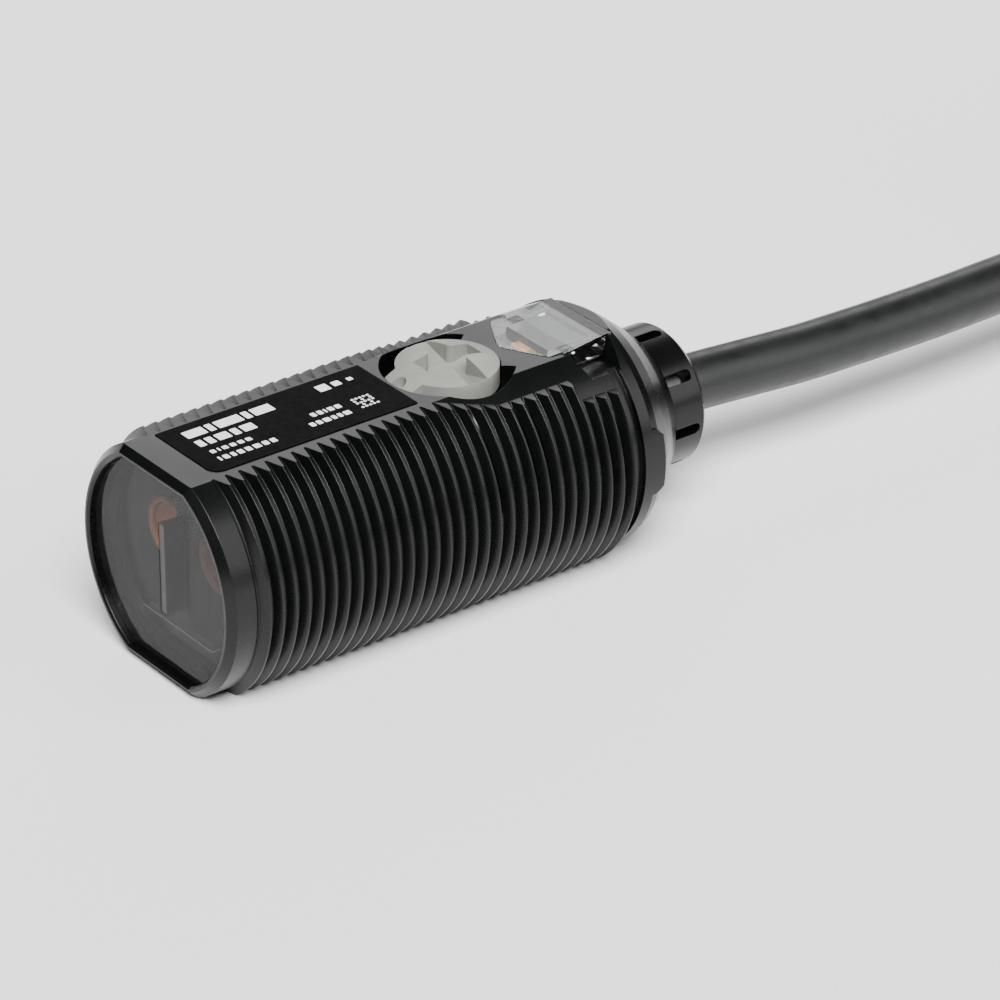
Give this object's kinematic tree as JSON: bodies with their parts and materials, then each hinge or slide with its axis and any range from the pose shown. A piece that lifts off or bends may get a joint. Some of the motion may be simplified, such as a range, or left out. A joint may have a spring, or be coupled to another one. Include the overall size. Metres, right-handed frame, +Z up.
{
  "type": "photoelectric sensor",
  "caption": "M18 threaded photoelectric sensor with a smoked front window, sensitivity dial, indicator window and a fixed cable.",
  "frame": {"origin": "on the lower flat, at the middle of the barrel's length and width", "axes": "-Y out of the front window, +Y along the cable end, +Z up through the dial"},
  "size_m": [0.0378, 0.1787, 0.028],
  "materials": {
    "barrel": "satin",
    "cap": "satin",
    "smoked": "gloss",
    "seal": "matte",
    "label": "matte",
    "holder": "matte",
    "shield": "satin",
    "amber_lens": "gloss",
    "brown_lens": "gloss",
    "red_lamp": "gloss",
    "chip": "matte",
    "board": "satin",
    "can": "satin",
    "capacitor": "satin",
    "contacts": "satin",
    "trimmer": "matte",
    "clear": "gloss",
    "orange_lamp": "gloss",
    "green_lamp": "gloss",
    "bushing": "matte",
    "resin": "matte",
    "jacket": "matte",
    "brown_core": "matte",
    "blue_core": "matte",
    "black_core": "matte",
    "tie": "satin",
    "dial": "satin"
  },
  "bodies": {
    "sensor": {"housing": "barrel", "front_window": "smoked", "window_seal": "seal", "rating_label": "label", "optics_holder": "holder", "light_shield": "shield", "emitter_ring": "amber_lens", "receiver_ring": "brown_lens", "emitter_lens": "amber_lens", "receiver_lens": "brown_lens", "emitter_led": "red_lamp", "receiver_diode": "chip", "front_board": "board", "main_board": "board", "board_link": "contacts", "shield_can": "can", "controller_chip": "chip", "driver_chip": "chip", "capacitors": "capacitor", "trimmer_body": "trimmer", "dial_seal": "seal", "indicator_window": "clear", "indicator_board": "board", "orange_led": "orange_lamp", "green_led": "green_lamp", "rear_cap": "cap", "cap_seal": "seal", "cord_ring": "cap", "cord_bushing": "bushing", "potting": "resin", "cable_root": "jacket", "core_brown": "brown_core", "core_blue": "blue_core", "core_black": "black_core", "cable_lead": "jacket", "cable_hank": "jacket", "hank_tie": "tie", "cable_tail": "jacket", "lead_brown": "brown_core", "lead_blue": "blue_core", "lead_black": "black_core"},
    "dial": {"trimmer_rotor": "contacts", "dial": "dial"}
  },
  "joints": [
    {"name": "dial_turn", "type": "hinge", "parent": "sensor", "child": "dial", "pos_m": [0, 0.00255, 0.01395], "axis": [0, 0, 1], "range_deg": [-114, 114]}
  ]
}
